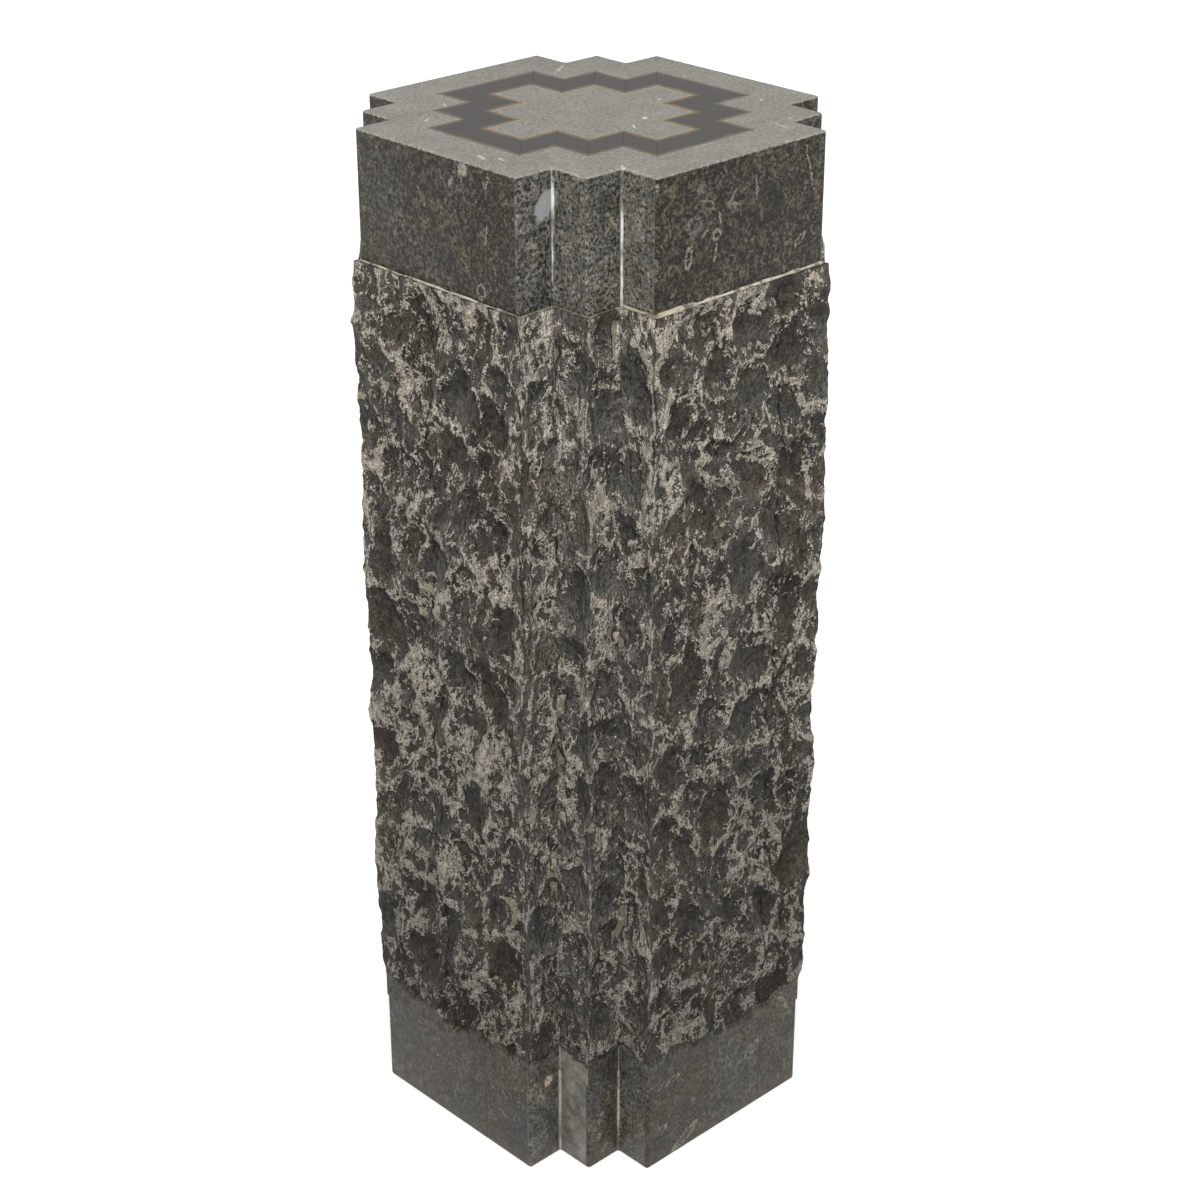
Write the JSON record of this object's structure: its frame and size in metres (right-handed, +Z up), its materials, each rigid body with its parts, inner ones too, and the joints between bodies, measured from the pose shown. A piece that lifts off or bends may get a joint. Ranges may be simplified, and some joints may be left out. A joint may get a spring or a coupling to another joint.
{
  "type": "stone pedestal",
  "caption": "Square stone pedestal with stepped corners: polished base, split-faced shaft, polished cap with a stepped inlaid band, for standing a sculpture or vase on.",
  "frame": {"origin": "centre of the underside of the base", "axes": "+Z up; the four wide faces look along +X, -X, +Y and -Y"},
  "size_m": [0.358, 0.358, 0.9144],
  "materials": {
    "polished_stone": "dark brown-grey fossil limestone, honed and waxed",
    "split_stone": "the same stone split-faced, with pale bruises on the ridges",
    "band_stone": "even dark grey inlay, honed",
    "field_stone": "the cap's stone, honed and dull"
  },
  "bodies": {
    "root": {"base_block": "polished_stone", "split_shaft": "split_stone", "cap_block": "polished_stone", "band_strip_01": "band_stone", "band_strip_02": "band_stone", "band_strip_03": "band_stone", "band_strip_04": "band_stone", "band_strip_05": "band_stone", "band_strip_06": "band_stone", "band_strip_07": "band_stone", "band_strip_08": "band_stone", "band_strip_09": "band_stone", "band_strip_10": "band_stone", "band_strip_11": "band_stone", "band_strip_12": "band_stone", "band_strip_13": "band_stone", "band_strip_14": "band_stone", "band_strip_15": "band_stone", "band_strip_16": "band_stone", "band_strip_17": "band_stone", "band_strip_18": "band_stone", "band_strip_19": "band_stone", "band_strip_20": "band_stone", "centre_field": "field_stone"}
  },
  "joints": []
}
